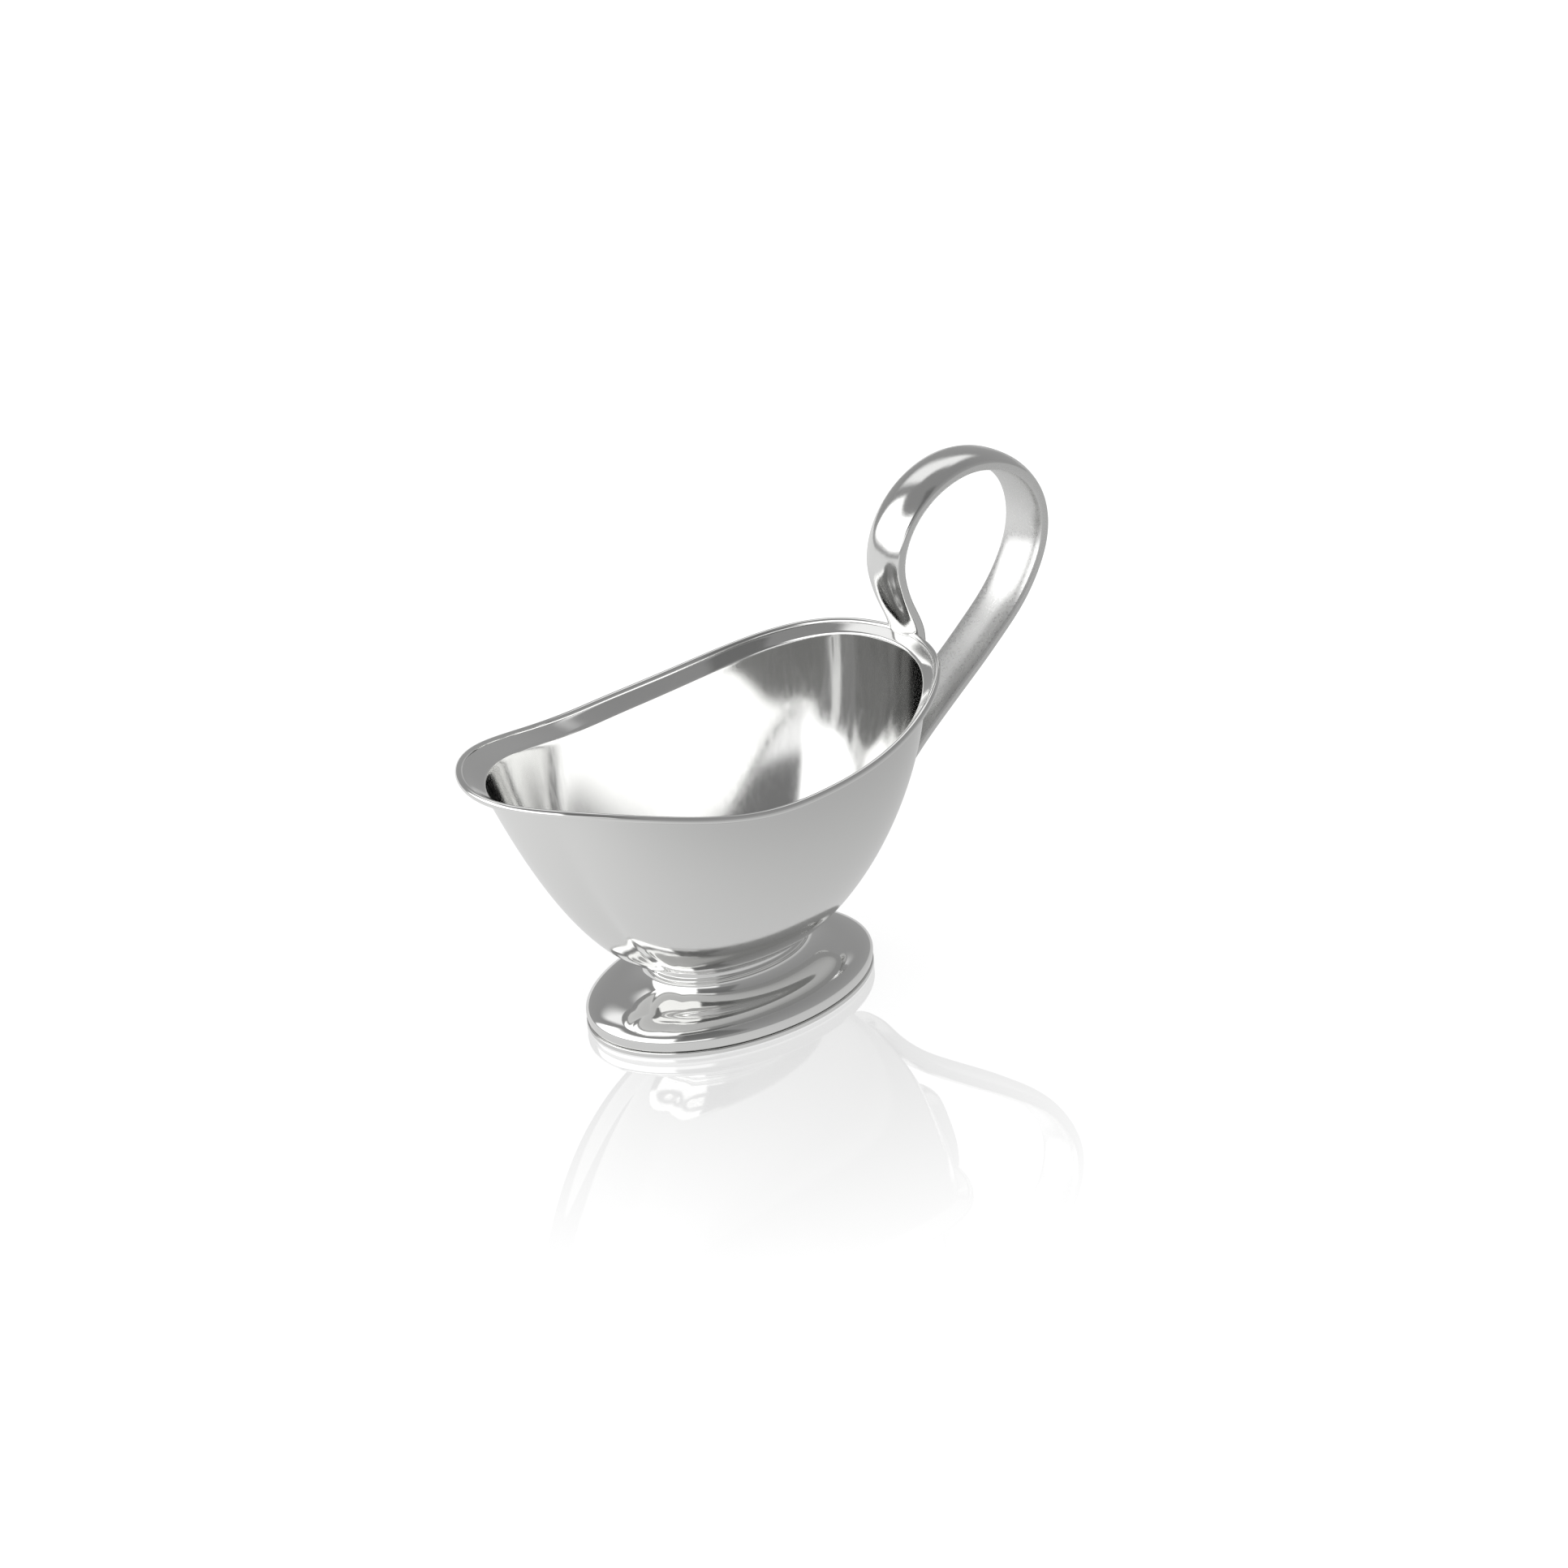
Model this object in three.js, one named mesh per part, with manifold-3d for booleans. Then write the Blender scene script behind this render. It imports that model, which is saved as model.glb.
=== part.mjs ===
// Footed sauce boat in polished silver plate, in millimetres, +Z up.
// The lip points along -X and the handle along +X; Y = 0 is the plane of symmetry.
// The design is drawn from the centre of the foot and shifted at the end, so that the
// origin lies under the middle of the whole boat.

import * as THREE from 'three';
import Module from 'manifold-3d';

// ---- Driving dimensions ----

// Mouth of the bowl, to the outside of the rim wire.
const MOUTH_REAR_X = 72.8;
const MOUTH_LIP_X = -80.3;
const MOUTH_WIDTH = 92.8;
const MOUTH_REAR_FULLNESS = 0.12;
const RIM_HEIGHT_REAR = 83.2;
const RIM_HEIGHT_SIDE = 74.7;
const RIM_HEIGHT_LIP = 88.2;
const RIM_SWEEP_REAR = 1.5;
const RIM_SWEEP_LIP = 1.15;
const RIM_WIRE_DIAMETER = 2.2;

// Flared band between the wall of the bowl and the rim wire. Each shape that changes round
// the mouth is a list of waves: its mean, then once, twice and three times round.
const FLARE_WIDTH = [6.8, -1.7, 0, 1.0];
const FLARE_RISE = [3.1, -0.6, 0, -0.8];

// Wall and bottom of the bowl. The bottom oval sits down inside the neck of the foot.
const SHEET = 1.0;
const WALL_UPPER_FULLNESS = [1.65, 0.2, -0.55, 0.3];
const WALL_LOWER_FULLNESS = [1.75, -0.2, 0.3, 0];
const BOWL_SEAT_DEPTH = 1.4;
const BOWL_BOTTOM_LENGTH = 28;
const BOWL_BOTTOM_WIDTH = 22;
const BOWL_BOTTOM_X = 6;

// Oval foot, and the band soldered under it.
const FOOT_LENGTH = 90;
const FOOT_WIDTH = 64;
const FOOT_SHEET = 1.3;
const FOOT_SHOULDER_HEIGHT = 4.0;
const FOOT_UNDERCUT = 0.8;
const FOOT_RIDGE_LENGTH = 50.4;
const FOOT_RIDGE_HEIGHT = 14.0;
const FOOT_RIDGE_STEP = 0.8;
const FOOT_NECK_INSET = 1.0;
const FOOT_NECK_RISE = 5.0;
const FOOT_COVE_LENGTH = 70;
const FOOT_COVE_HEIGHT = 8.3;
const BASE_BAND_HEIGHT = 1.2;
const BASE_BAND_WIDTH = 2.6;

// Cast handle.
const HANDLE_THICKNESS = 6.2;
const HANDLE_ROOT_THICKNESS = 9.5;
const HANDLE_ROOT_WIDTH = 12.4;
const HANDLE_ARM_WIDTH = 15.4;
const HANDLE_TIP_LENGTH = 5;
const HANDLE_ROOT_SHARE = 0.14;
const HANDLE_WIDENING_SHARE = 0.45;
const HANDLE_SQUARENESS = 2 / 3;

// Solder gap between pieces that touch.
const GAP = 0.3;

// Facets: points round an oval, and along the wall, the flare and the handle.
const AROUND = 72;
const WALL_STEPS = 11;
const WALL_CROWDING = 1.8;
const FLARE_STEPS = 3;
const WIRE_SIDES = 10;
const COVE_STEPS = 6;
const SHOULDER_STEPS = 7;
const HANDLE_STEPS = 44;
const HANDLE_END_CROWDING = 0.25;
const HANDLE_END_SHARE = 0.004;
const HANDLE_SIDES = 16;
const SMALL_TURN = 1e-3;

// ---- Small geometry tools ----

const angles = Array.from({ length: AROUND }, (_, i) => (2 * Math.PI * i) / AROUND);
const smooth = (s) => s * s * (3 - 2 * s);
const mix = (a, b, s) => a + (b - a) * s;
const waves = (sizes, t) => sizes.reduce((sum, size, n) => sum + size * Math.cos(n * t), 0);

// Closed skin over a list of rings. A one-point ring is a pole, and a looped skin joins
// its last ring to its first.
function skin(rings, looped = false) {
  const positions = [];
  const starts = [];
  for (const ring of rings) {
    starts.push(positions.length / 3);
    for (const p of ring) positions.push(p.x, p.y, p.z);
  }
  const faces = [];
  const bands = looped ? rings.length : rings.length - 1;
  for (let r = 0; r < bands; r++) {
    const s = (r + 1) % rings.length;
    const count = Math.max(rings[r].length, rings[s].length);
    for (let i = 0; i < count; i++) {
      const j = (i + 1) % count;
      const at = (ring, k) => starts[ring] + (rings[ring].length === 1 ? 0 : k);
      if (rings[s].length > 1) faces.push(at(r, i), at(s, j), at(s, i));
      if (rings[r].length > 1) faces.push(at(r, i), at(r, j), at(s, j));
    }
  }
  const geometry = new THREE.BufferGeometry();
  geometry.setAttribute('position', new THREE.Float32BufferAttribute(positions, 3));
  geometry.setIndex(faces);
  if (volume(geometry) < 0) geometry.setIndex(faces.reverse());
  return geometry;
}

function volume(geometry) {
  const position = geometry.getAttribute('position');
  const index = geometry.getIndex();
  const corner = (k) => new THREE.Vector3().fromBufferAttribute(position, index.getX(k));
  let sum = 0;
  for (let k = 0; k < index.count; k += 3) {
    sum += corner(k).dot(corner(k + 1).cross(corner(k + 2))) / 6;
  }
  return sum;
}

// Level oval ring about the foot's axis.
function oval(length, width, height) {
  return angles.map((t) => new THREE.Vector3(
    (length / 2) * Math.cos(t), (width / 2) * Math.sin(t), height));
}

// ---- The bowl's surfaces ----

// Outside of the rim wire at angle t: 0 is the handle end and PI the lip.
function rimPoint(t) {
  const c = Math.cos(t);
  const fullness = c > 0 ? 1 + MOUTH_REAR_FULLNESS * c * c : 1;
  const endHeight = c > 0 ? RIM_HEIGHT_REAR : RIM_HEIGHT_LIP;
  const rise = smooth(Math.abs(c) ** (c > 0 ? RIM_SWEEP_REAR : RIM_SWEEP_LIP));
  return new THREE.Vector3(
    mix(MOUTH_LIP_X, MOUTH_REAR_X, (1 + c) / 2),
    (MOUTH_WIDTH / 2) * Math.sin(t) * fullness,
    mix(RIM_HEIGHT_SIDE, endHeight, rise));
}

// The rim shrunk inwards in plan by a distance, and lowered.
function insideRim(t, inwards, lowered) {
  const along = rimPoint(t + SMALL_TURN).sub(rimPoint(t - SMALL_TURN));
  const outward = new THREE.Vector3(along.y, -along.x, 0).normalize();
  const point = rimPoint(t).addScaledVector(outward, -inwards);
  point.z -= lowered;
  return point;
}

// Outside of the crease where the wall turns into the flare.
function creasePoint(t) {
  return insideRim(t, waves(FLARE_WIDTH, t) - SHEET, waves(FLARE_RISE, t));
}

const BOWL_BOTTOM_HEIGHT = FOOT_RIDGE_HEIGHT - BOWL_SEAT_DEPTH;

// Outer surface of the wall: v is 0 at the bottom oval and 1 at the crease. The wall is
// straightest at the lip and fullest at the sides.
function wallPoint(t, v) {
  const bottom = new THREE.Vector3(
    BOWL_BOTTOM_X + (BOWL_BOTTOM_LENGTH / 2) * Math.cos(t),
    (BOWL_BOTTOM_WIDTH / 2) * Math.sin(t),
    BOWL_BOTTOM_HEIGHT);
  const top = creasePoint(t);
  const upper = Math.max(waves(WALL_UPPER_FULLNESS, t), 1);
  const outwards = (1 - (1 - v) ** upper) ** (1 / waves(WALL_LOWER_FULLNESS, t));
  return new THREE.Vector3(
    mix(bottom.x, top.x, outwards), mix(bottom.y, top.y, outwards), mix(bottom.z, top.z, v));
}

// Outer surface of the flare: s is 0 at the crease and 1 at the edge of the sheet.
function flarePoint(t, s) {
  const edge = insideRim(t, RIM_WIRE_DIAMETER + GAP, SHEET / 2);
  return creasePoint(t).lerp(edge, s);
}

// Steps up the wall, closer together at the bottom where it curves most.
const wallSteps = Array.from({ length: WALL_STEPS + 1 }, (_, i) => (i / WALL_STEPS) ** WALL_CROWDING);

// The bowl's outer surface as one run of stations from the bottom oval to the edge.
const stations = [
  ...wallSteps.map((v) => (t) => wallPoint(t, v)),
  ...Array.from({ length: FLARE_STEPS }, (_, i) => (t) => flarePoint(t, (i + 1) / FLARE_STEPS)),
];

// A ring of the outer surface moved along its normal; a positive distance is outwards.
function bowlRing(k, distance) {
  const below = stations[Math.max(k - 1, 0)];
  const above = stations[Math.min(k + 1, stations.length - 1)];
  return angles.map((t) => {
    const around = stations[k](t + SMALL_TURN).sub(stations[k](t - SMALL_TURN));
    const upward = above(t).sub(below(t));
    const normal = around.cross(upward).normalize();
    return stations[k](t).addScaledVector(normal, distance);
  });
}

const bottomPole = (height) => [new THREE.Vector3(BOWL_BOTTOM_X, 0, height)];

function makeBowl() {
  const outside = stations.map((_, k) => bowlRing(k, 0));
  const inside = stations.map((_, k) => bowlRing(k, -SHEET));
  return skin([
    bottomPole(BOWL_BOTTOM_HEIGHT), ...outside,
    ...inside.reverse(), bottomPole(BOWL_BOTTOM_HEIGHT + SHEET),
  ]);
}

// ---- Rim wire ----

function makeRimWire() {
  const radius = RIM_WIRE_DIAMETER / 2;
  const rings = Array.from({ length: WIRE_SIDES }, (_, k) => {
    const a = (2 * Math.PI * k) / WIRE_SIDES;
    return angles.map((t) => insideRim(t, radius - radius * Math.cos(a), -radius * Math.sin(a)));
  });
  return skin(rings, true);
}

// ---- Solids that are cut to fit the vessel ----

const wasm = await Module();
wasm.setup();

function toSolid(geometry) {
  return new wasm.Manifold(new wasm.Mesh({
    numProp: 3,
    vertProperties: geometry.getAttribute('position').array,
    triVerts: new Uint32Array(geometry.getIndex().array),
  }));
}

function toGeometry(solid) {
  const mesh = solid.getMesh();
  const geometry = new THREE.BufferGeometry();
  geometry.setAttribute('position', new THREE.BufferAttribute(mesh.vertProperties, 3));
  geometry.setIndex(new THREE.BufferAttribute(mesh.triVerts, 1));
  return geometry;
}

function largestBody(solid) {
  const bodies = solid.decompose().sort((a, b) => b.volume() - a.volume());
  return toGeometry(bodies[0]);
}

// Everything that the bowl and its rim fill, with the solder gap round it: up the wall,
// round the outside of the wire and across the mouth.
function makeVesselEnvelope() {
  const wall = stations.map((_, k) => bowlRing(k, GAP)).slice(0, -1);
  const radius = RIM_WIRE_DIAMETER / 2;
  const reach = radius + GAP;
  const overWire = [90, 60, 30, 0, -30, -60, -90].map((degrees) => {
    const a = THREE.MathUtils.degToRad(degrees);
    return angles.map((t) => insideRim(t, radius - reach * Math.cos(a), reach * Math.sin(a)));
  });
  const mouth = angles.map((t) => insideRim(t, 3 * radius, -radius));
  return toSolid(skin([
    bottomPole(BOWL_BOTTOM_HEIGHT - GAP), ...wall, ...overWire, mouth,
    bottomPole(RIM_HEIGHT_SIDE),
  ]));
}

// ---- Foot ----

const FOOT_ASPECT = FOOT_WIDTH / FOOT_LENGTH;
const FOOT_BOTTOM = BASE_BAND_HEIGHT + GAP;

// A quarter turn of the foot's profile between two [length, height] points. It sets off
// upright and arrives level, or the other way round.
function quarterTurn(from, to, uprightFirst, count) {
  return Array.from({ length: count }, (_, i) => {
    const a = (Math.PI / 2) * ((i + 1) / count);
    const shares = [Math.sin(a), 1 - Math.cos(a)];
    if (uprightFirst) shares.reverse();
    return [mix(from[0], to[0], shares[0]), mix(from[1], to[1], shares[1])];
  });
}

function makeFoot() {
  const neckLength = FOOT_RIDGE_LENGTH - 2 * FOOT_NECK_INSET;
  const neckHeight = FOOT_RIDGE_HEIGHT + FOOT_NECK_RISE;
  const coveTop = [FOOT_RIDGE_LENGTH - FOOT_NECK_INSET, FOOT_RIDGE_HEIGHT - FOOT_RIDGE_STEP];
  const coveFoot = [FOOT_COVE_LENGTH, FOOT_COVE_HEIGHT];
  const shoulder = [FOOT_LENGTH, FOOT_SHOULDER_HEIGHT];
  const edge = [FOOT_LENGTH - 2 * FOOT_UNDERCUT, FOOT_BOTTOM];
  const outside = [
    [neckLength, neckHeight], [neckLength, FOOT_RIDGE_HEIGHT + FOOT_RIDGE_STEP],
    [FOOT_RIDGE_LENGTH, FOOT_RIDGE_HEIGHT], coveTop,
    ...quarterTurn(coveTop, coveFoot, true, COVE_STEPS),
    ...quarterTurn(coveFoot, shoulder, false, SHOULDER_STEPS),
    ...quarterTurn(shoulder, edge, true, 2),
  ];
  const inside = outside.map(([length, height], i) => {
    const before = outside[Math.max(i - 1, 0)];
    const after = outside[Math.min(i + 1, outside.length - 1)];
    const run = new THREE.Vector2((after[0] - before[0]) / 2, after[1] - before[1]).normalize();
    return [length + 2 * FOOT_SHEET * run.y, height - FOOT_SHEET * run.x];
  }).filter((_, i) => i % 2 === 0);
  inside[0][1] = neckHeight;
  inside[inside.length - 1] = [FOOT_LENGTH - 2 * BASE_BAND_WIDTH, FOOT_BOTTOM];
  const profile = [...outside, ...inside.reverse()];
  const blank = skin(profile.map(([length, height]) => oval(length, length * FOOT_ASPECT, height)), true);
  return largestBody(toSolid(blank).subtract(makeVesselEnvelope()));
}

function makeBaseBand() {
  const ring = (length, height) => oval(length, length * FOOT_ASPECT, height);
  const inner = FOOT_LENGTH - 2 * BASE_BAND_WIDTH;
  return skin([
    ring(FOOT_LENGTH, 0), ring(FOOT_LENGTH, BASE_BAND_HEIGHT),
    ring(inner, BASE_BAND_HEIGHT), ring(inner, 0),
  ], true);
}

// ---- Handle ----

// Points of the centre line, in the plane of symmetry: beside the wall at a share of its
// height, or off the rear end of the rim.
const besideWall = (v, outwards) => wallPoint(0, v).add(new THREE.Vector3(outwards, 0, 0));
const offRim = (x, z) => rimPoint(0).add(new THREE.Vector3(x, 0, z));

// From the end of the root under the rim, up round the loop, and down the arm to the tip
// that lies along the underside of the bowl.
const handlePath = [
  besideWall(0.652, 2.3), besideWall(0.768, 3.15), offRim(-1.0, -8.2), offRim(0.5, 0.8),
  offRim(-3.6, 10.3), offRim(-6.1, 21.8), offRim(-2.3, 32.3), offRim(7.7, 40.6),
  offRim(22.7, 43.7), offRim(37.2, 39.0), offRim(47.0, 28.3), offRim(48.6, 15.0),
  offRim(40.5, 0.2), offRim(25.5, -12.2), offRim(10.0, -22.7), offRim(-3.6, -32.2),
  besideWall(0.409, 2.74), besideWall(0.209, 1.54),
];

// Width of the strap along the centre line: narrow at the root, full on the arm.
function handleWidth(u) {
  return mix(HANDLE_ROOT_WIDTH, HANDLE_ARM_WIDTH, smooth(Math.min(u / HANDLE_WIDENING_SHARE, 1)));
}

// Thickness of the strap: heaviest at the root, where it is soldered under the rim.
function handleThickness(u) {
  return mix(HANDLE_ROOT_THICKNESS, HANDLE_THICKNESS, smooth(Math.min(u / HANDLE_ROOT_SHARE, 1)));
}

function makeStrap() {
  const path = new THREE.CatmullRomCurve3(handlePath, false, 'centripetal');
  const length = path.getLength();
  const across = new THREE.Vector3(0, 1, 0);
  const squared = (w) => Math.sign(w) * Math.abs(w) ** HANDLE_SQUARENESS;
  const rings = [[path.getPointAt(0)]];
  for (let i = 0; i <= HANDLE_STEPS; i++) {
    const step = i / HANDLE_STEPS;
    const u = mix(HANDLE_END_SHARE, 1 - HANDLE_END_SHARE, mix(step, smooth(step), HANDLE_END_CROWDING));
    const toEnd = Math.min(Math.min(u, 1 - u) * length / HANDLE_TIP_LENGTH, 1);
    const round = Math.sqrt(1 - (1 - toEnd) ** 2);
    const centre = path.getPointAt(u);
    const normal = path.getTangentAt(u).cross(across);
    rings.push(Array.from({ length: HANDLE_SIDES }, (_, k) => {
      const a = (2 * Math.PI * (k + 0.5)) / HANDLE_SIDES;
      return centre.clone()
        .addScaledVector(across, (handleWidth(u) / 2) * squared(Math.cos(a)) * round)
        .addScaledVector(normal, (handleThickness(u) / 2) * squared(Math.sin(a)) * round);
    }));
  }
  rings.push([path.getPointAt(1)]);
  return skin(rings);
}

// The strap is shaped to the bowl and the rim where it is soldered to them.
function makeHandle() {
  return largestBody(toSolid(makeStrap()).subtract(makeVesselEnvelope()));
}

// ---- Assembly ----

const POLISHED = { color: 0xc9c9c7, metalness: 1, roughness: 0.12 };
const BRUSHED = { color: 0xbfbfbd, metalness: 1, roughness: 0.3 };

const pieces = {
  bowl: [makeBowl(), POLISHED],
  rim_wire: [makeRimWire(), POLISHED],
  foot: [makeFoot(), POLISHED],
  foot_base_band: [makeBaseBand(), POLISHED],
  handle: [makeHandle(), BRUSHED],
};

const group = new THREE.Group();
for (const [name, [geometry, finish]] of Object.entries(pieces)) {
  geometry.computeVertexNormals();
  const mesh = new THREE.Mesh(geometry, new THREE.MeshStandardMaterial(finish));
  mesh.name = name;
  group.add(mesh);
}

// The origin goes under the middle of the boat's overall length.
const bounds = new THREE.Box3().setFromObject(group);
group.position.x = -(bounds.min.x + bounds.max.x) / 2;

export default group;
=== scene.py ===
import math

import bmesh
import bpy
from mathutils import Matrix, Vector


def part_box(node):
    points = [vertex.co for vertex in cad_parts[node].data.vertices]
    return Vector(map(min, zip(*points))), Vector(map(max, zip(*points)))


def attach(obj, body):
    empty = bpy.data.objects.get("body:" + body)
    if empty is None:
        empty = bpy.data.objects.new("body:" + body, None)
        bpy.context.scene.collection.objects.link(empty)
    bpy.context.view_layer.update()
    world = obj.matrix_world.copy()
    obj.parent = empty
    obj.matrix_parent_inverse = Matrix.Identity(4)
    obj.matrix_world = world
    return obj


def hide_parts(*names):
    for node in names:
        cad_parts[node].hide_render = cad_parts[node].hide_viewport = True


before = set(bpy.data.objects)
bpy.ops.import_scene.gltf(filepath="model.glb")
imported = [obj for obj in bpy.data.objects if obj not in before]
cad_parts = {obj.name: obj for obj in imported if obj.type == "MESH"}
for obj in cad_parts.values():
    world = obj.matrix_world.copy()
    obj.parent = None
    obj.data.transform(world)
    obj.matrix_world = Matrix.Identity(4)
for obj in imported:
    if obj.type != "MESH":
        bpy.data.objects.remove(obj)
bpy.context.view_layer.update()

MM = 0.001

# ---- Bowl ----
# The boat-shaped bowl is one sheet of metal, pressed to shape, with a flared band bent
# outwards round its mouth. It is plated and polished inside and out, and its bottom
# sits down in the neck of the foot, where it is soldered.

wire_low, wire_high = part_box("rim_wire")
band_low, band_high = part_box("foot_base_band")

WIRE_RADIUS = 1.1 * MM
LIP_X = wire_low.x
REAR_X = wire_high.x
HALF_WIDTH = wire_high.y
LIP_HEIGHT = wire_high.z - WIRE_RADIUS
SIDE_HEIGHT = wire_low.z + WIRE_RADIUS
REAR_RISE = 8.5 * MM
REAR_HEIGHT = SIDE_HEIGHT + REAR_RISE
REAR_FULLNESS = 0.12
REAR_EASE = 1.5
LIP_EASE = 1.15

SHEET = 1.0 * MM
CREASE_RADIUS = 0.7 * MM

# Each shape that changes round the mouth is a list of waves: its mean, then once, twice and
# three times round. The flare is in millimetres, and a fuller wall has the larger number.
FLARE_WIDTH = [6.8, -1.7, 0, 1.0]
FLARE_RISE = [3.1, -0.6, 0, -0.8]
WALL_UPPER_FULLNESS = [1.65, 0.2, -0.55, 0.3]
WALL_LOWER_FULLNESS = [1.75, -0.2, 0.3, 0]

FOOT_X = (band_low.x + band_high.x) / 2
BOTTOM_X = FOOT_X + 6 * MM
BOTTOM_HEIGHT = 12.6 * MM
BOTTOM_HALF_LENGTH = 14 * MM
BOTTOM_HALF_WIDTH = 11 * MM
BOTTOM_SHARES = (0.15, 0.4, 0.7)

AROUND = 96
WALL_STEPS = 16
WALL_CROWDING = 1.8
FLARE_STEPS = 3
SMALL_TURN = 0.001
SMOOTHING = {"levels": 2, "render_levels": 2}
angles = [2 * math.pi * i / AROUND for i in range(AROUND)]


def mix(a, b, share):
    return a + (b - a) * share


def ease(share):
    return share * share * (3 - 2 * share)


def waves(sizes, t):
    return sum(size * math.cos(n * t) for n, size in enumerate(sizes))


def rim_point(t):
    """Outer edge of the rim at angle t, which is 0 at the handle and pi at the lip."""
    c = math.cos(t)
    fullness = 1 + REAR_FULLNESS * c * c if c > 0 else 1
    end_height = REAR_HEIGHT if c > 0 else LIP_HEIGHT
    rise = ease(abs(c) ** (REAR_EASE if c > 0 else LIP_EASE))
    return Vector((
        mix(LIP_X, REAR_X, (1 + c) / 2),
        HALF_WIDTH * math.sin(t) * fullness,
        mix(SIDE_HEIGHT, end_height, rise),
    ))


def inside_rim(t, inwards, lowered):
    """The rim moved inwards in plan, and lowered."""
    along = rim_point(t + SMALL_TURN) - rim_point(t - SMALL_TURN)
    outward = Vector((along.y, -along.x, 0)).normalized()
    return rim_point(t) - outward * inwards - Vector((0, 0, lowered))


def crease_point(t):
    """Outside of the bend between the wall and the flare."""
    return inside_rim(t, waves(FLARE_WIDTH, t) * MM - SHEET, waves(FLARE_RISE, t) * MM)


def wall_point(t, v):
    """Outside of the wall: v is 0 at the bottom oval and 1 at the bend."""
    bottom = Vector((
        BOTTOM_X + BOTTOM_HALF_LENGTH * math.cos(t), BOTTOM_HALF_WIDTH * math.sin(t),
        BOTTOM_HEIGHT))
    top = crease_point(t)
    upper = max(waves(WALL_UPPER_FULLNESS, t), 1)
    outwards = (1 - (1 - v) ** upper) ** (1 / waves(WALL_LOWER_FULLNESS, t))
    return Vector((
        mix(bottom.x, top.x, outwards), mix(bottom.y, top.y, outwards), mix(bottom.z, top.z, v)))


def flare_point(t, s):
    """Outside of the flare: s is 0 at the bend and 1 at the edge, inside the wire."""
    return crease_point(t).lerp(inside_rim(t, WIRE_RADIUS, SHEET / 2), s)


def bottom_point(t, share):
    """The flat bottom oval, shrunk to a share of its size."""
    return wall_point(t, 0).lerp(Vector((BOTTOM_X, 0, BOTTOM_HEIGHT)), 1 - share)


# The bend between wall and flare is kept tight by a ring on each side of it.
bend_v = CREASE_RADIUS / (REAR_HEIGHT - BOTTOM_HEIGHT)
bend_s = CREASE_RADIUS / (FLARE_WIDTH[0] * MM)
wall_steps = [(i / WALL_STEPS) ** WALL_CROWDING for i in range(WALL_STEPS)] + [1 - bend_v, 1]
flare_steps = [bend_s] + [(i + 1) / FLARE_STEPS for i in range(FLARE_STEPS)]
bowl_rings = [[bottom_point(t, share) for t in angles] for share in BOTTOM_SHARES]
bowl_rings += [[wall_point(t, v) for t in angles] for v in wall_steps]
bowl_rings += [[flare_point(t, s) for t in angles] for s in flare_steps]


def draw_up(name, rings, start="NOTHING", end="open"):
    """A circle drawn up from ring to ring by extruding it and setting each new loop on
    its own outline. start="TRIFAN" closes the first ring; end is open, pole or bridge."""
    count = len(rings[0])
    bpy.ops.object.select_all(action="DESELECT")
    bpy.ops.mesh.primitive_circle_add(vertices=count, radius=1, fill_type=start)
    piece = bpy.context.object
    piece.name = piece.data.name = name
    bpy.ops.object.mode_set(mode="EDIT")
    shape = bmesh.from_edit_mesh(piece.data)
    number = shape.verts.layers.int.new("number")
    for vert in shape.verts:
        on_circle = vert.co.length > 0.5
        if on_circle:
            vert[number] = round(math.atan2(vert.co.y, vert.co.x) * count / (2 * math.pi)) % count
        else:
            vert.co = sum(rings[0], Vector()) / count
    bmesh.update_edit_mesh(piece.data)
    bpy.ops.mesh.select_mode(type="VERT")
    bpy.ops.mesh.select_all(action="SELECT")
    if start != "NOTHING":
        bpy.ops.mesh.region_to_loop()
    for step, ring in enumerate(rings):
        if step > 0:
            bpy.ops.mesh.extrude_region_move()
        shape = bmesh.from_edit_mesh(piece.data)
        number = shape.verts.layers.int["number"]
        for vert in shape.verts:
            if vert.select:
                vert.co = ring[vert[number]]
        bmesh.update_edit_mesh(piece.data)
    if end == "pole":
        bpy.ops.mesh.extrude_region_move()
        bpy.ops.mesh.merge(type="CENTER")
    if end == "bridge":
        bpy.ops.mesh.select_all(action="DESELECT")
        bpy.ops.mesh.select_non_manifold()
        bpy.ops.mesh.bridge_edge_loops()
    bpy.ops.mesh.select_all(action="SELECT")
    bpy.ops.mesh.normals_make_consistent(inside=False)
    bpy.ops.object.mode_set(mode="OBJECT")
    bpy.ops.object.shade_smooth()
    piece.data.attributes.remove(piece.data.attributes["number"])
    return piece


def finish_with(piece, kind, **settings):
    """Adds a modifier to the piece and applies it."""
    modifier = piece.modifiers.new(kind.title(), kind)
    for name, value in settings.items():
        setattr(modifier, name, value)
    bpy.context.view_layer.objects.active = piece
    bpy.ops.object.modifier_apply(modifier=modifier.name)


# An open bowl's recalculated normals face up and in, so the sheet thickens along them.
bowl = draw_up("bowl_body", bowl_rings, start="TRIFAN")
finish_with(bowl, "SOLIDIFY", thickness=SHEET, offset=1, use_even_offset=True)
finish_with(bowl, "SUBSURF", **SMOOTHING)


def linear(hex_colour):
    """An sRGB hex colour as linear RGBA."""
    shares = [int(hex_colour[i:i + 2], 16) / 255 for i in (1, 3, 5)]
    return [s / 12.92 if s <= 0.04045 else ((s + 0.055) / 1.055) ** 2.4 for s in shares] + [1]


def add_node(tree, kind, settings=None, links=None):
    """One node with its settings, by property or socket name, and links into its sockets."""
    node = tree.nodes.new(kind)
    for name, value in (settings or {}).items():
        if name in node.inputs:
            node.inputs[name].default_value = value
        else:
            setattr(node, name, value)
    for name, source in (links or {}).items():
        tree.links.new(source, node.inputs[name])
    return node


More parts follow.
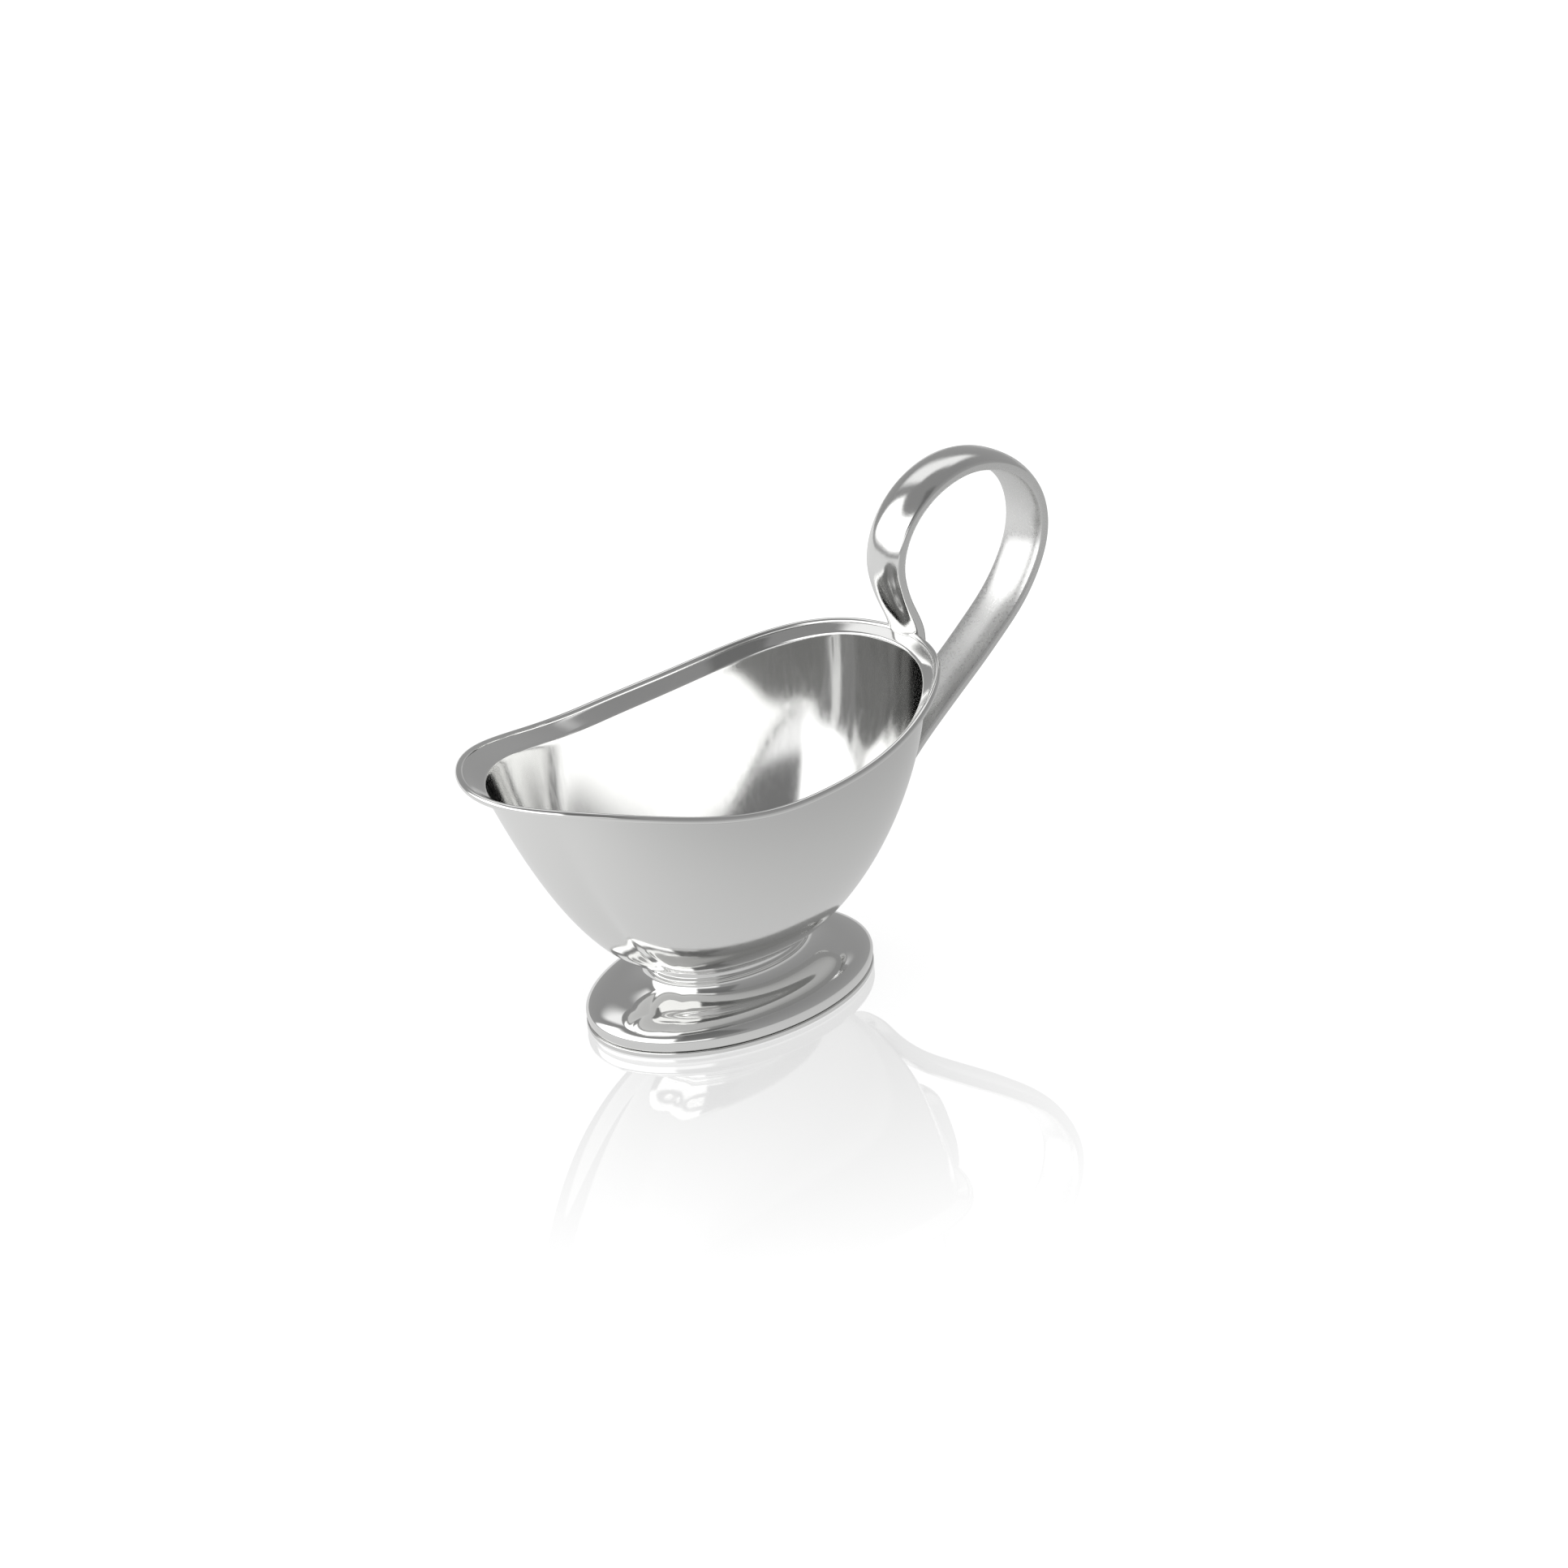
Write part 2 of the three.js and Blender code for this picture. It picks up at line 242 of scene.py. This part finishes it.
def new_material(name):
    material = bpy.data.materials.new(name)
    material.use_nodes = True
    material.node_tree.nodes.clear()
    return material, material.node_tree


# The mop leaves upright lines much finer than these, which are as coarse as they need to
# be to show. The sheet's waves are about 22 mm long and 0.4 mm high before their strength.
POLISHING_LINES_PER_M = 700
LINE_STRETCH = 0.15
SHEET_WAVES_PER_M = 45
SHEET_WAVE_HEIGHT = 0.4 * MM


def make_polished_silver(name, smoothest, roughest, waviness):
    """Silver plate polished on a mop: a mirror with a faint haze of polishing lines, and the
    very slight waviness that a pressed or spun sheet keeps."""
    material, tree = new_material(name)
    place = add_node(tree, "ShaderNodeTexCoord").outputs["Object"]
    upright = add_node(tree, "ShaderNodeMapping", {"Scale": (1, 1, LINE_STRETCH)},
                       {"Vector": place})
    lines = add_node(tree, "ShaderNodeTexNoise", {"Scale": POLISHING_LINES_PER_M, "Detail": 2},
                     {"Vector": upright.outputs["Vector"]})
    haze = add_node(tree, "ShaderNodeMapRange", {"From Min": 0.35, "From Max": 0.7,
                    "To Min": smoothest, "To Max": roughest}, {"Value": lines.outputs["Fac"]})
    swell = add_node(tree, "ShaderNodeTexNoise", {"Scale": SHEET_WAVES_PER_M, "Detail": 1},
                     {"Vector": place})
    sheet = add_node(tree, "ShaderNodeBump", {
        "Strength": waviness, "Distance": SHEET_WAVE_HEIGHT}, {"Height": swell.outputs["Fac"]})
    metal = add_node(tree, "ShaderNodeBsdfPrincipled",
                     {"Base Color": linear("#e4e4e3"), "Metallic": 1},
                     {"Roughness": haze.outputs["Result"], "Normal": sheet.outputs["Normal"]})
    add_node(tree, "ShaderNodeOutputMaterial", {}, {"Surface": metal.outputs["BSDF"]})
    return material


# The broad sheet of the bowl is mopped to a softer gloss than the small parts.
soft_polish = make_polished_silver("soft polished silver plate", 0.08, 0.13, 0.04)
mirror_polish = make_polished_silver("mirror polished silver plate", 0.04, 0.06, 0.01)


def fit_piece(piece, material, slot, *nodes):
    """The piece takes its material, rides on the one body, and stands for CAD nodes."""
    piece.data.materials.clear()
    piece.data.materials.append(material)
    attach(piece, "root")
    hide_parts(*nodes)


fit_piece(bowl, soft_polish, "polished_silver", "bowl")

# ---- Rim wire ----
# A round silver wire runs right round the mouth. It is soldered to the edge of the flare
# and polished over, so that the edge of the thin sheet doesn't show.

WIRE_SIDES = 12


def wire_ring(side):
    """One of the rings that run right round the mouth along the wire's surface."""
    turn = 2 * math.pi * side / WIRE_SIDES
    inwards = WIRE_RADIUS - WIRE_RADIUS * math.cos(turn)
    return [inside_rim(t, inwards, -WIRE_RADIUS * math.sin(turn)) for t in angles]


rim_wire = draw_up("rim_bead", [wire_ring(side) for side in range(WIRE_SIDES)], end="bridge")
finish_with(rim_wire, "SUBSURF", **SMOOTHING)
fit_piece(rim_wire, mirror_polish, "polished_silver", "rim_wire")

# ---- Foot ----
# The spun oval foot is a hollow sheet: a short neck with a sharp ridge, a hollow cove, and
# a fat rounded shoulder at the edge. Its neck is scribed to the bowl and soldered.

FOOT_LENGTH = band_high.x - band_low.x
FOOT_ASPECT = (band_high.y - band_low.y) / FOOT_LENGTH
FOOT_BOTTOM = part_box("foot")[0].z
FOOT_SHEET = 1.3 * MM
FOOT_SHOULDER_HEIGHT = 4.0 * MM
FOOT_UNDERCUT = 0.8 * MM
RIDGE_LENGTH = 50.4 * MM
RIDGE_HEIGHT = 14.0 * MM
RIDGE_STEP = 0.8 * MM
RIDGE_ROUND = 0.3 * MM
NECK_INSET = 1.0 * MM
NECK_RISE = 3.0 * MM
COVE_FOOT = (70 * MM, 8.3 * MM)
COVE_STEPS = 9
SHOULDER_STEPS = 12
EDGE_STEPS = 3
BAND_WIDTH = 2.6 * MM


def quarter_turn(start, end, upright_first, count):
    """A quarter turn of profile between two (length, height) points, which sets off upright
    and arrives level, or the other way round."""
    points = []
    for i in range(count):
        turn = math.pi / 2 * (i + 1) / count
        shares = [math.sin(turn), 1 - math.cos(turn)]
        if upright_first:
            shares.reverse()
        points.append((mix(start[0], end[0], shares[0]), mix(start[1], end[1], shares[1])))
    return points


def foot_oval(length, height):
    """A level oval ring of the foot, of a length along X."""
    half_length, half_width = length / 2, length / 2 * FOOT_ASPECT
    return [Vector((FOOT_X + half_length * math.cos(t), half_width * math.sin(t), height))
            for t in angles]


neck_length = RIDGE_LENGTH - 2 * NECK_INSET
neck_foot = RIDGE_HEIGHT + RIDGE_STEP
cove_top = (RIDGE_LENGTH - NECK_INSET, RIDGE_HEIGHT - RIDGE_STEP)
shoulder = (FOOT_LENGTH, FOOT_SHOULDER_HEIGHT)
foot_edge = (FOOT_LENGTH - 2 * FOOT_UNDERCUT, FOOT_BOTTOM)
profile = [
    (neck_length, neck_foot + NECK_RISE), (neck_length, neck_foot + RIDGE_ROUND),
    (neck_length, neck_foot),
    (RIDGE_LENGTH - RIDGE_ROUND, RIDGE_HEIGHT + RIDGE_ROUND), (RIDGE_LENGTH, RIDGE_HEIGHT),
    cove_top,
]
cove = quarter_turn(cove_top, COVE_FOOT, True, COVE_STEPS)
brim = quarter_turn(COVE_FOOT, shoulder, False, SHOULDER_STEPS)
profile += cove + brim + quarter_turn(shoulder, foot_edge, True, EDGE_STEPS)
lining = [(FOOT_LENGTH - 2 * BAND_WIDTH, FOOT_BOTTOM)]
lining += [(length - 2 * FOOT_SHEET, height - FOOT_SHEET) for length, height in reversed(
    cove[2::3] + brim[2:-2:3])]
lining.append((neck_length - 2 * FOOT_SHEET, neck_foot))
foot_rings = [foot_oval(length, height) for length, height in profile + lining]


def scribe(ring):
    """Lifts each point of the neck's top ring until it is just inside the bowl's sheet."""
    for point in ring:
        hit, place, _, _ = bowl.ray_cast(Vector((point.x, point.y, 0)), Vector((0, 0, 1)))
        if hit:
            point.z = place.z + SHEET / 2


scribe(foot_rings[0])
inner_neck = foot_oval(neck_length - 2 * FOOT_SHEET, 0)
scribe(inner_neck)
foot = draw_up("foot_body", foot_rings + [inner_neck], end="bridge")
finish_with(foot, "SUBSURF", **SMOOTHING)
fit_piece(foot, mirror_polish, "polished_silver", "foot")

# ---- Foot base band ----
# A flat oval band of silver is soldered under the edge of the foot. It stiffens the edge
# and is the face that the boat stands on.

BAND_EDGE = 0.2 * MM
band_inner = FOOT_LENGTH - 2 * BAND_WIDTH
band_profile = [
    (FOOT_LENGTH - 2 * BAND_EDGE, 0), (FOOT_LENGTH, BAND_EDGE),
    (FOOT_LENGTH, FOOT_BOTTOM - BAND_EDGE), (FOOT_LENGTH - 2 * BAND_EDGE, FOOT_BOTTOM),
    (band_inner + 2 * BAND_EDGE, FOOT_BOTTOM), (band_inner, FOOT_BOTTOM - BAND_EDGE),
    (band_inner, BAND_EDGE), (band_inner + 2 * BAND_EDGE, 0),
]
base_band = draw_up(
    "base_band", [foot_oval(length, height) for length, height in band_profile], end="bridge")
finish_with(base_band, "SUBSURF", **SMOOTHING)
fit_piece(base_band, mirror_polish, "polished_silver", "foot_base_band")

# ---- Handle ----
# The handle is a cast strap, domed on its outer face and rounded on its inner one. It rises
# from under the rim in an open loop and comes down along the bowl, soldered at both ends.


def beside_wall(v, outwards):
    """A point beside the rear wall, at a share of its height and a distance in millimetres."""
    return wall_point(0, v) + Vector((outwards * MM, 0, 0))


def off_rim(x, z):
    """A point off the rear end of the rim, in millimetres along and up."""
    return rim_point(0) + Vector((x * MM, 0, z * MM))


# From the end of the root under the rim, up round the loop, and down the arm to the tip
# that lies along the underside of the bowl.
HANDLE_PATH = [
    beside_wall(0.652, 2.3), beside_wall(0.768, 3.15), off_rim(-1.0, -8.2), off_rim(0.5, 0.8),
    off_rim(-3.6, 10.3), off_rim(-6.1, 21.8), off_rim(-2.3, 32.3), off_rim(7.7, 40.6),
    off_rim(22.7, 43.7), off_rim(37.2, 39.0), off_rim(47.0, 28.3), off_rim(48.6, 15.0),
    off_rim(40.5, 0.2), off_rim(25.5, -12.2), off_rim(10.0, -22.7), off_rim(-3.6, -32.2),
    beside_wall(0.409, 2.74), beside_wall(0.209, 1.54),
]
HANDLE_THICKNESS = 6.2 * MM
HANDLE_ROOT_THICKNESS = 9.5 * MM
HANDLE_ROOT_WIDTH = 12.4 * MM
HANDLE_ARM_WIDTH = 15.4 * MM
HANDLE_TIP_LENGTH = 5 * MM
HANDLE_ROOT_SHARE = 0.14
HANDLE_WIDENING_SHARE = 0.45
HANDLE_LINE_STEPS = 24
HANDLE_STEPS = 44
HANDLE_END_CROWDING = 0.25
HANDLE_END_SHARE = 0.004

# Half of the strap's section, from the middle of the domed outer face to the middle of the
# inner face, as shares of half the width and half the thickness.
STRAP_SECTION = [
    (0.0, 1.0), (0.28, 0.94), (0.55, 0.79), (0.76, 0.58), (0.9, 0.38), (0.975, 0.22),
    (1.0, 0.06), (1.0, -0.14), (0.985, -0.34), (0.93, -0.54), (0.8, -0.72), (0.58, -0.86),
    (0.3, -0.95),
]
section = STRAP_SECTION + [(0.0, -1.0)] + [(-x, y) for x, y in reversed(STRAP_SECTION[1:])]


def centripetal(points, per_span):
    """A smooth line through the points, with slopes eased by the distances between them."""
    ends = [2 * points[0] - points[1]] + points + [2 * points[-1] - points[-2]]
    line = []
    for i in range(1, len(ends) - 2):
        p0, p1, p2, p3 = ends[i - 1:i + 3]
        d0, d1, d2 = (math.sqrt((b - a).length) for a, b in ((p0, p1), (p1, p2), (p2, p3)))
        m1 = ((p1 - p0) / d0 - (p2 - p0) / (d0 + d1) + (p2 - p1) / d1) * d1
        m2 = ((p2 - p1) / d1 - (p3 - p1) / (d1 + d2) + (p3 - p2) / d2) * d1
        for k in range(per_span):
            s = k / per_span
            line.append(
                p1 * (2 * s ** 3 - 3 * s ** 2 + 1) + m1 * (s ** 3 - 2 * s ** 2 + s)
                + p2 * (3 * s ** 2 - 2 * s ** 3) + m2 * (s ** 3 - s ** 2))
    return line + [points[-1]]


handle_line = centripetal(HANDLE_PATH, HANDLE_LINE_STEPS)
run = [0]
for a, b in zip(handle_line, handle_line[1:]):
    run.append(run[-1] + (b - a).length)
handle_length = run[-1]


def on_handle(share):
    """The point of the centre line at a share of the handle's length."""
    wanted = share * handle_length
    i = max(next(k for k, reached in enumerate(run) if reached >= wanted), 1)
    part = (wanted - run[i - 1]) / (run[i] - run[i - 1])
    return handle_line[i - 1].lerp(handle_line[i], part)


steps = [i / HANDLE_STEPS for i in range(HANDLE_STEPS + 1)]
shares = [mix(HANDLE_END_SHARE, 1 - HANDLE_END_SHARE, mix(step, ease(step), HANDLE_END_CROWDING))
          for step in steps]
centres = [on_handle(share) for share in shares]
across = Vector((0, 1, 0))
outwards = []
half_depths = []
handle_rings = []
for i, (share, centre) in enumerate(zip(shares, centres)):
    along = (centres[min(i + 1, HANDLE_STEPS)] - centres[max(i - 1, 0)]).normalized()
    outward = along.cross(across)
    to_end = min(min(share, 1 - share) * handle_length / HANDLE_TIP_LENGTH, 1)
    rounding = math.sqrt(1 - (1 - to_end) ** 2)
    widening = ease(min(share / HANDLE_WIDENING_SHARE, 1))
    thinning = ease(min(share / HANDLE_ROOT_SHARE, 1))
    half_width = mix(HANDLE_ROOT_WIDTH, HANDLE_ARM_WIDTH, widening) * rounding / 2
    half_depth = mix(HANDLE_ROOT_THICKNESS, HANDLE_THICKNESS, thinning) * rounding / 2
    outwards.append(outward)
    half_depths.append(half_depth)
    handle_rings.append([
        centre + across * (half_width * x) + outward * (half_depth * y) for x, y in section])
handle = draw_up("handle_strap", handle_rings, start="TRIFAN", end="pole")
finish_with(handle, "SUBSURF", **SMOOTHING)

# The strap is cut to the bowl: what lies inside the middle of the bowl's sheet is taken off.
# The cutter goes up the wall and the flare, comes back a little further in, and is closed
# by a cone with its point below the mouth.
CUTTER_DEPTH = 0.5 * SHEET
CUTTER_RETURN_DEPTH = 0.6 * SHEET
CUTTER_POINT_DROP = 4 * MM
CUTTER_STEP = 0.01


def inset_ring(point_of, value, depth):
    """A ring of the bowl's outer surface, moved inwards by a depth along its normal."""
    ring = []
    for t in angles:
        around = point_of(t + SMALL_TURN, value) - point_of(t - SMALL_TURN, value)
        above = point_of(t, min(value + CUTTER_STEP, 1))
        upward = above - point_of(t, max(value - CUTTER_STEP, 0))
        ring.append(point_of(t, value) - around.cross(upward).normalized() * depth)
    return ring


cutter_rings = [inset_ring(wall_point, v, CUTTER_DEPTH) for v in wall_steps if v < 1 - bend_v]
cutter_rings += [inset_ring(flare_point, s, CUTTER_DEPTH) for s in flare_steps]
cutter_rings += [
    inset_ring(flare_point, s, CUTTER_RETURN_DEPTH) for s in reversed(flare_steps)]
bowl_cutter = draw_up("bowl_cutter", cutter_rings, start="TRIFAN")
bpy.ops.object.mode_set(mode="EDIT")
bpy.ops.mesh.select_all(action="DESELECT")
bpy.ops.mesh.select_non_manifold()
bpy.ops.mesh.extrude_region_move(
    TRANSFORM_OT_translate={"value": (0, 0, -CUTTER_POINT_DROP)})
bpy.ops.mesh.merge(type="CENTER")
bpy.ops.mesh.select_all(action="SELECT")
bpy.ops.mesh.normals_make_consistent(inside=False)
bpy.ops.object.mode_set(mode="OBJECT")
finish_with(handle, "BOOLEAN", operation="DIFFERENCE", object=bowl_cutter, solver="EXACT")
bpy.data.objects.remove(bowl_cutter)


def mark_faces(piece):
    """Writes an attribute that is 1 on the strap's outer face and -1 on its inner face."""
    face = piece.data.attributes.new("face", "FLOAT", "POINT")
    for vert in piece.data.vertices:
        i = min(range(len(centres)), key=lambda k: (centres[k] - vert.co).length_squared)
        height = (vert.co - centres[i]).dot(outwards[i]) / half_depths[i]
        face.data[vert.index].value = min(max(height, -1), 1)


mark_faces(handle)

# The grain of the casting is finer than this, which is as coarse as it needs to be to show.
GRAINS_PER_M = 1500
GRAIN_HEIGHT = 0.1 * MM
BUFFED_ROUGHNESS = 0.13
SATIN_ROUGHNESS = 0.3


def make_cast_silver():
    """Cast silver, fettled and buffed by hand: soft mirror on the outer face, and a satin
    with a fine grain on the inner face, where the mop doesn't reach."""
    material, tree = new_material("cast silver plate")
    place = add_node(tree, "ShaderNodeTexCoord").outputs["Object"]
    face = add_node(tree, "ShaderNodeAttribute", {"attribute_name": "face"})
    satin = add_node(tree, "ShaderNodeMapRange", {
        "interpolation_type": "SMOOTHSTEP", "From Min": 0.1, "From Max": -0.5,
        "To Min": BUFFED_ROUGHNESS, "To Max": SATIN_ROUGHNESS}, {"Value": face.outputs["Fac"]})
    grain = add_node(tree, "ShaderNodeTexNoise", {"Scale": GRAINS_PER_M, "Detail": 4},
                     {"Vector": place})
    haze = add_node(tree, "ShaderNodeMapRange", {"From Min": 0.3, "From Max": 0.7,
                    "To Min": 0.8, "To Max": 1.3}, {"Value": grain.outputs["Fac"]})
    rough = add_node(tree, "ShaderNodeMath", {"operation": "MULTIPLY"})
    tree.links.new(satin.outputs["Result"], rough.inputs[0])
    tree.links.new(haze.outputs["Result"], rough.inputs[1])
    skin = add_node(tree, "ShaderNodeBump", {"Strength": 0.08, "Distance": GRAIN_HEIGHT},
                    {"Height": grain.outputs["Fac"]})
    metal = add_node(tree, "ShaderNodeBsdfPrincipled",
                     {"Base Color": linear("#e0e0df"), "Metallic": 1},
                     {"Roughness": rough.outputs["Value"], "Normal": skin.outputs["Normal"]})
    add_node(tree, "ShaderNodeOutputMaterial", {}, {"Surface": metal.outputs["BSDF"]})
    return material


fit_piece(handle, make_cast_silver(), "cast_silver", "handle")

# ---- Studio ----
# A pale glossy floor that keeps a short, fading reflection, soft light from all round with
# one broad panel of light on the lip's side, and the camera above the near side.

FLOOR_SIZE = 8
bpy.ops.object.select_all(action="DESELECT")
bpy.ops.mesh.primitive_plane_add(size=FLOOR_SIZE)
floor = bpy.context.object
floor.name = "floor"

FLOOR_GLOSS = 0.32
GLOSS_NEAR = 0.05
GLOSS_FAR = 0.26
FLOOR_GLOW = 0.8
FLOOR_MATT = 0.25
# Painted light: the floor's glow as the metal mirrors it is graded from bright on the lip's side to
# dim behind, while the camera sees an even white.
FLOOR_BRIGHT = 0.86
FLOOR_DIM = 0.50
FLOOR_GRADE_REACH = 0.2
FLOOR_GRADE_TURN = math.radians(40)


def make_white_acrylic():
    """A white acrylic sheet, lit from below: a sharp gloss that fades away from the boat over
    an even white. What the metal mirrors of it is a painted gradient of light, bright on the lip's
    side and pale grey behind."""
    material, tree = new_material("white acrylic sheet")
    place = add_node(tree, "ShaderNodeTexCoord").outputs["Object"]
    glossy_ray = add_node(tree, "ShaderNodeLightPath").outputs["Is Glossy Ray"]
    away = add_node(tree, "ShaderNodeVectorMath", {"operation": "LENGTH"}, {"Vector": place})
    gloss = add_node(tree, "ShaderNodeMapRange", {
        "interpolation_type": "SMOOTHSTEP", "From Min": GLOSS_NEAR, "From Max": GLOSS_FAR,
        "To Min": FLOOR_GLOSS, "To Max": 0}, {"Value": away.outputs["Value"]})
    along = add_node(tree, "ShaderNodeMapping", {"Rotation": (0, 0, FLOOR_GRADE_TURN)},
                     {"Vector": place})
    split = add_node(tree, "ShaderNodeSeparateXYZ", {}, {"Vector": along.outputs["Vector"]})
    # Painted light: a gradient of glow across the floor, seen only by glossy rays.
    painted_floor_gradient = add_node(tree, "ShaderNodeMapRange", {
        "interpolation_type": "SMOOTHSTEP", "From Min": -FLOOR_GRADE_REACH,
        "From Max": FLOOR_GRADE_REACH, "To Min": FLOOR_BRIGHT,
        "To Max": FLOOR_DIM}, {"Value": split.outputs["X"]})
    glow = add_node(tree, "ShaderNodeMix", {"data_type": "FLOAT", "A": FLOOR_GLOW})
    tree.links.new(glossy_ray, glow.inputs["Factor"])
    tree.links.new(painted_floor_gradient.outputs["Result"], glow.inputs["B"])
    matt = add_node(tree, "ShaderNodeMix", {"data_type": "FLOAT", "A": FLOOR_MATT, "B": 0.0},
                    {"Factor": glossy_ray})
    lit = add_node(tree, "ShaderNodeEmission", {}, {"Strength": glow.outputs["Result"]})
    body = add_node(tree, "ShaderNodeBsdfDiffuse", {}, {"Color": matt.outputs["Result"]})
    white = add_node(tree, "ShaderNodeAddShader")
    tree.links.new(lit.outputs["Emission"], white.inputs[0])
    tree.links.new(body.outputs["BSDF"], white.inputs[1])
    polish = add_node(tree, "ShaderNodeBsdfGlossy", {"Roughness": 0.0})
    fade = add_node(tree, "ShaderNodeMix", {"data_type": "FLOAT", "B": 0.0},
                    {"Factor": glossy_ray})
    tree.links.new(gloss.outputs["Result"], fade.inputs["A"])
    sheet = add_node(tree, "ShaderNodeMixShader", {}, {"Fac": fade.outputs["Result"]})
    tree.links.new(white.outputs["Shader"], sheet.inputs[1])
    tree.links.new(polish.outputs["BSDF"], sheet.inputs[2])
    add_node(tree, "ShaderNodeOutputMaterial", {}, {"Surface": sheet.outputs["Shader"]})
    return material


floor.data.materials.append(make_white_acrylic())

# Light panels round the boat, in degrees of azimuth from the middle of the broad panel,
# degrees of elevation, the softness of their edges, and their brightness.
PANEL_MIDDLE = -110
PANELS = [
    (-50, 57, 7, 50, 8, 10, 1.6),
    (57, 88, 6, 21, 8, 6, 0.8),
    (-138, -70, 36, 62, 14, 12, 0.8),
    (62, 112, 24, 80, 10, 8, -0.12),
]
FLOOR_LIGHT = 1.35
HORIZON_LIGHT = 1.15
SKY_LOW = 0.38
SKY_HIGH = 0.29
SKY_HIGH_ELEVATION = 60


def make_studio():
    """The world: even white light on the floor and in its sharp gloss, and for the metal to
    mirror, a grey room that darkens upwards, with the light panels in it."""
    world = bpy.data.worlds.new("studio")
    world.use_nodes = True
    tree = world.node_tree
    tree.nodes.clear()

    def number(kind, a, b=0.0):
        node = add_node(tree, "ShaderNodeMath", {"operation": kind})
        for socket, value in zip(node.inputs, (a, b)):
            if isinstance(value, (int, float)):
                socket.default_value = value
            else:
                tree.links.new(value, socket)
        return node.outputs["Value"]

    def step_up(value, middle, softness):
        return add_node(tree, "ShaderNodeMapRange", {
            "interpolation_type": "SMOOTHSTEP", "From Min": middle - softness / 2,
            "From Max": middle + softness / 2}, {"Value": value}).outputs["Result"]

    view = add_node(tree, "ShaderNodeTexCoord").outputs["Generated"]
    turned = add_node(tree, "ShaderNodeVectorRotate", {
        "rotation_type": "Z_AXIS", "Angle": -math.radians(PANEL_MIDDLE)}, {"Vector": view})
    parts = add_node(tree, "ShaderNodeSeparateXYZ", {}, {"Vector": turned.outputs["Vector"]})
    azimuth = number("DEGREES", number(
        "ARCTAN2", parts.outputs["X"], number("MULTIPLY", parts.outputs["Y"], -1)))
    elevation = number("DEGREES", number("ARCSINE", parts.outputs["Z"]))
    sky = add_node(tree, "ShaderNodeMapRange", {
        "From Max": SKY_HIGH_ELEVATION, "To Min": SKY_LOW, "To Max": SKY_HIGH}, {"Value": elevation})
    light = sky.outputs["Result"]
    for left, right, low, high, side_edge, top_edge, brightness in PANELS:
        across = number("SUBTRACT", step_up(azimuth, left, side_edge),
                        step_up(azimuth, right, side_edge))
        upright = number("SUBTRACT", step_up(elevation, low, top_edge),
                         step_up(elevation, high, top_edge))
        light = number("ADD", light, number(
            "MULTIPLY", number("MULTIPLY", across, upright), brightness))
    path = add_node(tree, "ShaderNodeLightPath")
    mirrored = add_node(tree, "ShaderNodeMix", {"data_type": "FLOAT", "B": HORIZON_LIGHT})
    tree.links.new(path.outputs["Is Singular Ray"], mirrored.inputs["Factor"])
    tree.links.new(light, mirrored.inputs["A"])
    seen = add_node(tree, "ShaderNodeMix", {"data_type": "FLOAT", "A": FLOOR_LIGHT})
    tree.links.new(path.outputs["Is Glossy Ray"], seen.inputs["Factor"])
    tree.links.new(mirrored.outputs["Result"], seen.inputs["B"])
    room = add_node(tree, "ShaderNodeBackground", {"Color": linear("#ffffff")},
                    {"Strength": seen.outputs["Result"]})
    add_node(tree, "ShaderNodeOutputWorld", {}, {"Surface": room.outputs["Background"]})
    return world


bpy.context.scene.world = make_studio()

CAMERA_AZIMUTH = math.radians(-40.32)
CAMERA_ELEVATION = math.radians(25.80)
CAMERA_ROLL = math.radians(-4.34)
CAMERA_DISTANCE = 1.8808
CAMERA_RIGHT = 14.54 * MM
CAMERA_UP = 56.80 * MM
CAMERA_LENS = 156.4
CAMERA_SENSOR = 36

turn = (Matrix.Rotation(CAMERA_AZIMUTH, 3, "Z")
        @ Matrix.Rotation(math.pi / 2 - CAMERA_ELEVATION, 3, "X")
        @ Matrix.Rotation(CAMERA_ROLL, 3, "Z"))
camera_data = bpy.data.cameras.new("camera")
camera_data.lens = CAMERA_LENS
camera_data.sensor_width = CAMERA_SENSOR
camera = bpy.data.objects.new("camera", camera_data)
bpy.context.scene.collection.objects.link(camera)
camera.location = Vector((FOOT_X, 0, 0)) + turn @ Vector((CAMERA_RIGHT, CAMERA_UP, CAMERA_DISTANCE))
camera.rotation_euler = turn.to_euler()
bpy.context.scene.camera = camera
bpy.context.scene.view_settings.view_transform = "Standard"

bpy.context.view_layer.update()
